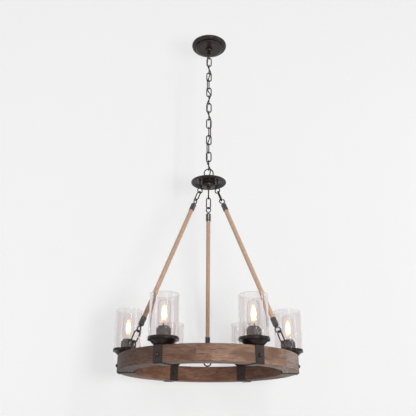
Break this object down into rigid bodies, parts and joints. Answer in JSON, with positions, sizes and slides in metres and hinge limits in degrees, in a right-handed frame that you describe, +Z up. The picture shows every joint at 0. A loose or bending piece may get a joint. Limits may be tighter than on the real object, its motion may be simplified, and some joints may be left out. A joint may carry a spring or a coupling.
{
  "type": "wagon wheel chandelier",
  "caption": "Round wagon wheel chandelier: a wooden rim with clear glass shaded lights, hung from a hub by rope wrapped hangers and from the ceiling by a chain.",
  "frame": {"origin": "on the ceiling plane, on the canopy's axis, midway between the two ceiling box screws", "axes": "+Z up out of the canopy into the ceiling, +X to the right seen from the pictured side, +Y away from that side"},
  "size_m": [0.6432, 0.6, 1.3461],
  "materials": {
    "canopy_bronze": "satin oil rubbed bronze paint",
    "zinc_steel": "zinc plated",
    "brass_thread": "plain threaded brass",
    "connector_plastic": "moulded",
    "cord_cloth": "woven cloth cover",
    "chain_bronze": "satin dark bronze",
    "dark_bronze": "satin dark bronze",
    "ferrule_bronze": "satin dark bronze",
    "tube_steel": "plain steel tube",
    "jute_rope": "twisted jute rope",
    "rim_wood": "weathered brown stain with visible grain",
    "dowel_wood": "plain beech",
    "cable_rubber": "sheathed cable",
    "strap_iron": "matt charcoal",
    "bolt_iron": "satin black bronze",
    "cup_bronze": "satin dark bronze",
    "socket_metal": "satin dark bronze",
    "bulb_glass": "clear amber glass",
    "shade_glass": "clear ribbed glass"
  },
  "bodies": {
    "ceiling_set": {"canopy": "canopy_bronze", "crossbar": "zinc_steel", "box_screws": "zinc_steel", "nipple": "brass_thread", "lock_nut": "zinc_steel", "screw_collar": "canopy_bronze", "canopy_loop": "canopy_bronze", "canopy_wire_nuts": "connector_plastic", "supply_cord": "cord_cloth"},
    "link_01": {"link_01": "chain_bronze"},
    "chain": {"link_02": "chain_bronze", "link_03": "chain_bronze", "link_04": "chain_bronze", "link_05": "chain_bronze", "link_06": "chain_bronze", "link_07": "chain_bronze", "link_08": "chain_bronze", "link_09": "chain_bronze", "link_10": "chain_bronze", "link_11": "chain_bronze", "link_12": "chain_bronze", "link_13": "chain_bronze"},
    "link_14": {"link_14": "chain_bronze"},
    "wheel": {"hub_loop": "dark_bronze", "hub_plate": "dark_bronze", "hub_boss": "dark_bronze", "hub_nipple": "brass_thread", "hub_nut": "dark_bronze", "hub_eyes": "dark_bronze", "upper_links": "chain_bronze", "upper_ferrules": "ferrule_bronze", "hanger_tubes": "tube_steel", "rope_wraps": "jute_rope", "lower_ferrules": "ferrule_bronze", "lower_links": "chain_bronze", "rim_eyes": "dark_bronze", "felloe_1": "rim_wood", "felloe_2": "rim_wood", "felloe_3": "rim_wood", "felloe_4": "rim_wood", "felloe_5": "rim_wood", "felloe_6": "rim_wood", "dowels": "dowel_wood", "rim_wiring": "cable_rubber", "straps": "strap_iron", "strap_bolts": "bolt_iron", "cups": "cup_bronze", "sockets": "socket_metal"},
    "bulb_1": {"bulb_1": "bulb_glass"},
    "shade_1": {"shade_1": "shade_glass"},
    "bulb_2": {"bulb_2": "bulb_glass"},
    "shade_2": {"shade_2": "shade_glass"},
    "bulb_3": {"bulb_3": "bulb_glass"},
    "shade_3": {"shade_3": "shade_glass"},
    "bulb_4": {"bulb_4": "bulb_glass"},
    "shade_4": {"shade_4": "shade_glass"},
    "bulb_5": {"bulb_5": "bulb_glass"},
    "shade_5": {"shade_5": "shade_glass"},
    "bulb_6": {"bulb_6": "bulb_glass"},
    "shade_6": {"shade_6": "shade_glass"}
  },
  "joints": [
    {"name": "link_01_swing", "type": "hinge", "parent": "ceiling_set", "child": "link_01", "pos_m": [0, 0, -0.0676], "axis": [0, 1, 0], "range_deg": [-8, 8], "deforming": ["supply_cord"]},
    {"name": "chain_swing", "type": "hinge", "parent": "link_01", "child": "chain", "pos_m": [0, 0, -0.1041], "axis": [1, 0, 0], "range_deg": [-8, 8], "deforming": ["supply_cord"]},
    {"name": "link_14_swing", "type": "hinge", "parent": "chain", "child": "link_14", "pos_m": [0, 0, -0.5421], "axis": [1, 0, 0], "range_deg": [-8, 8], "deforming": ["supply_cord"]},
    {"name": "wheel_swing", "type": "hinge", "parent": "link_14", "child": "wheel", "pos_m": [0, 0, -0.5786], "axis": [0, 1, 0], "range_deg": [-8, 8], "deforming": ["supply_cord"]},
    {"name": "shade_1_lift", "type": "slide", "parent": "wheel", "child": "shade_1", "axis": [0, 0, 1], "range_m": [0, 0.15]},
    {"name": "shade_2_lift", "type": "slide", "parent": "wheel", "child": "shade_2", "axis": [0, 0, 1], "range_m": [0, 0.15]},
    {"name": "shade_3_lift", "type": "slide", "parent": "wheel", "child": "shade_3", "axis": [0, 0, 1], "range_m": [0, 0.15]},
    {"name": "shade_4_lift", "type": "slide", "parent": "wheel", "child": "shade_4", "axis": [0, 0, 1], "range_m": [0, 0.15]},
    {"name": "shade_5_lift", "type": "slide", "parent": "wheel", "child": "shade_5", "axis": [0, 0, 1], "range_m": [0, 0.15]},
    {"name": "shade_6_lift", "type": "slide", "parent": "wheel", "child": "shade_6", "axis": [0, 0, 1], "range_m": [0, 0.15]},
    {"name": "bulb_1_draw", "type": "slide", "parent": "wheel", "child": "bulb_1", "axis": [0, 0, 1], "range_m": [0, 0.15]},
    {"name": "bulb_2_draw", "type": "slide", "parent": "wheel", "child": "bulb_2", "axis": [0, 0, 1], "range_m": [0, 0.15]},
    {"name": "bulb_3_draw", "type": "slide", "parent": "wheel", "child": "bulb_3", "axis": [0, 0, 1], "range_m": [0, 0.15]},
    {"name": "bulb_4_draw", "type": "slide", "parent": "wheel", "child": "bulb_4", "axis": [0, 0, 1], "range_m": [0, 0.15]},
    {"name": "bulb_5_draw", "type": "slide", "parent": "wheel", "child": "bulb_5", "axis": [0, 0, 1], "range_m": [0, 0.15]},
    {"name": "bulb_6_draw", "type": "slide", "parent": "wheel", "child": "bulb_6", "axis": [0, 0, 1], "range_m": [0, 0.15]}
  ]
}
